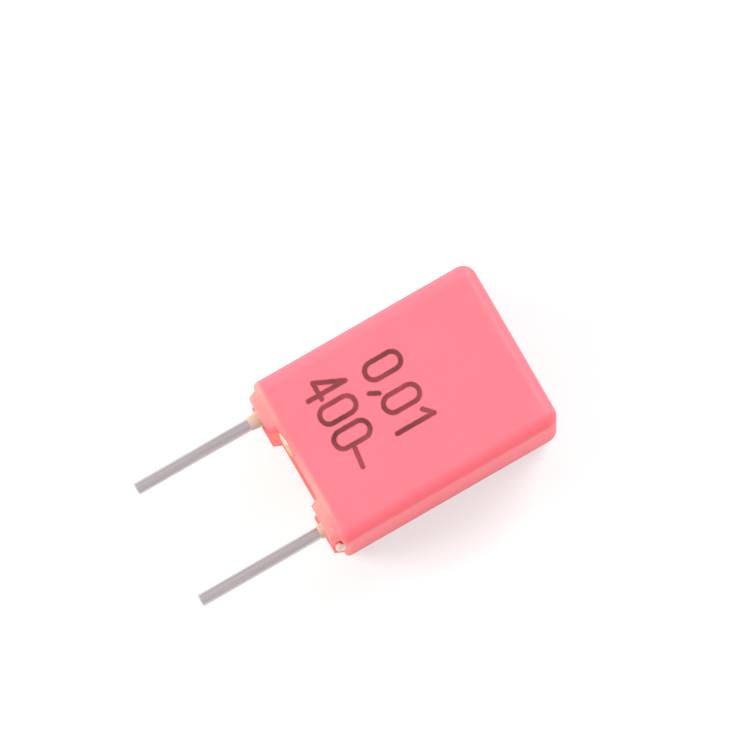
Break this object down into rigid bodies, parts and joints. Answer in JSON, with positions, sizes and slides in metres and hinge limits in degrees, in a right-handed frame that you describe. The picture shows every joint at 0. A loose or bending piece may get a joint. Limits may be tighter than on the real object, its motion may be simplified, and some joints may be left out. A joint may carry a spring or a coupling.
{
  "type": "box film capacitor",
  "caption": "Box film capacitor: moulded plastic case with corner stand-off feet, a resin-filled open end and straight round wire leads, lying on its broad face.",
  "frame": {"origin": "middle of the broad face that the case lies on, in that face's plane", "axes": "+X runs from the feet to the closed end of the case, so the leads point along -X; +Y runs across the leads; +Z points out of the upper broad face, the one that is marked"},
  "size_m": [0.0155, 0.0072, 0.0065],
  "materials": {
    "case_plastic": "satin moulded polyester, coral red",
    "casting_resin": "cast epoxy, tan, glossy skin",
    "film_roll": "pressed metallised film",
    "sprayed_metal": "rough flame-sprayed zinc",
    "tinned_wire": "drawn wire, bright tin"
  },
  "bodies": {
    "root": {"case": "case_plastic", "potting": "casting_resin", "winding": "film_roll", "end_contact_front": "sprayed_metal", "end_contact_back": "sprayed_metal", "lead_front": "tinned_wire", "lead_back": "tinned_wire"}
  },
  "joints": []
}
